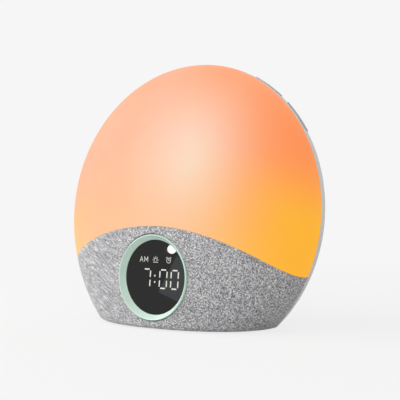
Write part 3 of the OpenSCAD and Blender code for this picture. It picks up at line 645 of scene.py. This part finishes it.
# ---- finishes of the CAD nodes ----
BLACK = (0.03, 0.03, 0.03, 1)
FINISHES = {
    "back_grey": moulded("grey_shell", srgb("d9d8d6"), 0.5),
    "base_grey": moulded("grey_base", srgb("9c9c9d"), 0.55),
    "key_grey": moulded("grey_keys", srgb("a9a9aa"), 0.42, grain=0.0003),
    "foot_rubber": moulded("foot_rubber", srgb("77777a"), 0.75, depth=0.00006),
    "carrier_plastic": moulded("carrier_grey", srgb("b0b0b0"), 0.6),
    "white_plastic": moulded("white_moulding", srgb("eeeeea"), 0.5),
    "frame_plastic": moulded("dark_frame", srgb("555556"), 0.6),
    "black_plastic": moulded("black_moulding", BLACK, 0.5),
    "led_white": moulded("led_resin_white", srgb("f2ead0"), 0.3),
    "led_amber": moulded("led_resin_amber", srgb("f0a030"), 0.3),
    "bright_metal": plated("nickel_plate", srgb("d0d0d2")),
    "screw_steel": plated("zinc_plate", srgb("c4c4c6"), 0.36),
    "speaker_steel": moulded("black_enamel", BLACK, 0.45),
    "speaker_paper": moulded("pressed_pulp", srgb("2a2a2a"), 0.85, grain=0.0009, depth=0.0001),
    "magnet": moulded("dark_ferrite", srgb("3c3c3d"), 0.6),
    "coil_wire": plated("enamelled_wire", srgb("b8703a"), 0.3),
    "ribbon": moulded("flat_cable", srgb("dcdcd8"), 0.45),
    "lead_red": moulded("red_lead", srgb("a02a22"), 0.45),
    "lead_yellow": moulded("yellow_lead", srgb("d8a83a"), 0.45),
    "board_green": board("green_board", srgb("14532d"), srgb("2c7a4a")),
    "board_white": board("white_board", srgb("e6e6e4"), srgb("cfcfcb")),
}
SLOTS = {row["node"]: row["material_slot"] for row in frame["record"]["subparts"]}
KEYS = ("right_upper_key", "right_lower_key", "left_upper_key", "left_lower_key",
        "rear_key_left", "rear_key_middle", "rear_key_right")


def softened(node, width):
    """A copy of a CAD node with its doubles merged and its edges rounded."""
    bm = bmesh.new()
    bm.from_mesh(frame["nodes"][node].data)
    bmesh.ops.remove_doubles(bm, verts=bm.verts, dist=1e-6)
    bmesh.ops.dissolve_limit(bm, angle_limit=math.radians(0.5), verts=bm.verts, edges=bm.edges)
    bmesh.ops.scale(bm, vec=(1 / MM,) * 3, verts=bm.verts)
    piece = finished(node + "_soft", bm, FINISHES[SLOTS[node]], frame["nodes"][node]["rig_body"], node,
                     slot=SLOTS[node])
    soft_edges(piece, width)


for name, node in frame["nodes"].items():
    if SLOTS[name] in FINISHES:
        node.data.materials.clear()
        node.data.materials.append(FINISHES[SLOTS[name]])
for name in KEYS:
    softened(name, KEY_EDGE)

# ---- floor and backdrop ----
BACKGROUND = srgb("f6f6f6")
FLOOR_HALF = 6000
SHADOW_SHARE = 0.15  # how much of the floor's colour answers to the light, and so takes the shadow
SHADOW_END, FLOOR_END = 0.16, 0.55  # metres from the clock: the shadow starts to fade, and has faded


def pale_floor():
    """A plain floor that keeps a soft shadow near the clock and runs out into the pale backdrop."""
    f = Finish("pale_floor", (0.8, 0.8, 0.8, 1), 0.9)
    steady = f.node("Emission", Color=BACKGROUND, Strength=1 - SHADOW_SHARE)
    shaded = f.node("BsdfDiffuse", Color=(0.8 * SHADOW_SHARE,) * 3 + (1,))
    near = f.node("AddShader", steady.outputs[0], shaded.outputs[0])
    plain = f.node("Emission", Color=BACKGROUND, Strength=1.0)
    away = f.node("VectorMath", f.place())
    away.operation = "LENGTH"
    fading = f.ramp(away.outputs["Value"], SHADOW_END, FLOOR_END, shape="SMOOTHSTEP")
    shown = f.node("MixShader", fading, near.outputs[0], plain.outputs[0])
    bounce = f.node("BsdfDiffuse", Color=(0.6, 0.6, 0.6, 1))
    last = f.node("MixShader", f.shown_ray(), bounce.outputs[0], shown.outputs[0])
    f.tree.links.new(last.outputs[0], f.tree.nodes["Material Output"].inputs[0])
    return f.material


bm = bmesh.new()
bmesh.ops.create_grid(bm, x_segments=1, y_segments=1, size=FLOOR_HALF * MM)
mesh = bpy.data.meshes.new("floor")
bm.to_mesh(mesh)
bm.free()
mesh.materials.append(pale_floor())
floor = bpy.data.objects.new("floor", mesh)
bpy.context.scene.collection.objects.link(floor)

world = bpy.data.worlds.new("studio")
bpy.context.scene.world = world
world.use_nodes = True
studio = Nodes(world.node_tree)
room_light = studio.tree.nodes["Background"]
studio.fill(room_light, {"Color": (1, 1, 1, 1), "Strength": 0.585})
backdrop = studio.node("Background", Color=BACKGROUND, Strength=1.0)
choice = studio.node("MixShader", studio.shown_ray(), room_light.outputs[0], backdrop.outputs[0])
studio.tree.links.new(choice.outputs[0], studio.tree.nodes["World Output"].inputs[0])


# ---- lamps and camera ----
MIDDLE = (0, 0, 0.09)


def towards(azimuth, elevation):
    """Direction from the clock, in degrees: azimuth goes from the front round by the right."""
    a, e = math.radians(azimuth), math.radians(elevation)
    return Vector((math.sin(a) * math.cos(e), -math.cos(a) * math.cos(e), math.sin(e)))


def softbox(name, azimuth, elevation, distance, size, power, aim=MIDDLE, roll=0, colour=(1, 1, 1)):
    """An area lamp aimed at a point of the clock: round, or a pane where size is a pair.

    Angles are in degrees, lengths in metres and power in watts.
    """
    lamp = bpy.data.lights.new(name, "AREA")
    if isinstance(size, tuple):
        lamp.shape = "RECTANGLE"
        lamp.size, lamp.size_y = size
    else:
        lamp.shape = "DISK"
        lamp.size = size
    lamp.energy = power
    lamp.color = colour
    back = towards(azimuth, elevation)
    facing = back.to_track_quat("Z", "Y").to_matrix().to_4x4() @ Matrix.Rotation(math.radians(roll), 4, "Z")
    holder = bpy.data.objects.new(name, lamp)
    holder.matrix_world = Matrix.Translation(Vector(aim) + back * distance) @ facing
    bpy.context.scene.collection.objects.link(holder)


softbox("key", -72, 28, 1.3, 0.8, 9.6)
softbox("front", -32, 28, 1.3, 0.7, 5.2)
softbox("fill", 38, 20, 1.3, 0.8, 3.3)
softbox("back", 175, 40, 1.5, 0.9, 1.5)
# Two small reflections in the window: a round catch-light and a dim bluish pane
softbox("catch", -37.9, 1.62, 1.5, 0.0165, 0.03, aim=(0.014, -0.0383, 0.0562))
softbox("pane", -37.42, 0.235, 1.5, (0.046, 0.075), 0.012, aim=(0.0175, -0.0397, 0.0369), roll=-22.5,
        colour=(0.82, 0.97, 1))

TARGET = Vector((0, RIM_Y, HEIGHT / 2)) * MM
CAMERA_AZIMUTH, CAMERA_ELEVATION, CAMERA_DISTANCE = 36.97, 2.18, 0.9108
CAMERA_ROLL = math.radians(0.83)
FRAME_WIDTH, SENSOR_WIDTH = 400, 36  # pixels, millimetres
FOCAL = 1265.75  # pixels
TARGET_X, TARGET_Y = -5.46, 6.58  # where the target is in the frame, in pixels from its middle

back = towards(CAMERA_AZIMUTH, CAMERA_ELEVATION)
level = Vector((math.cos(math.radians(CAMERA_AZIMUTH)), math.sin(math.radians(CAMERA_AZIMUTH)), 0))
up = back.cross(level)
side = level * math.cos(CAMERA_ROLL) - up * math.sin(CAMERA_ROLL)
top = level * math.sin(CAMERA_ROLL) + up * math.cos(CAMERA_ROLL)
turn = Matrix((side, top, back)).transposed()
aimed = Vector((0, 0, -1)).rotation_difference(Vector((TARGET_X / FOCAL, TARGET_Y / FOCAL, -1))).to_matrix()
camera_data = bpy.data.cameras.new("camera")
camera_data.sensor_width = SENSOR_WIDTH
camera_data.lens = FOCAL / FRAME_WIDTH * SENSOR_WIDTH
camera = bpy.data.objects.new("camera", camera_data)
camera.matrix_world = Matrix.Translation(TARGET + back * CAMERA_DISTANCE) @ (turn @ aimed.inverted()).to_4x4()
bpy.context.scene.collection.objects.link(camera)
bpy.context.scene.camera = camera
bpy.context.scene.view_settings.view_transform = "Standard"
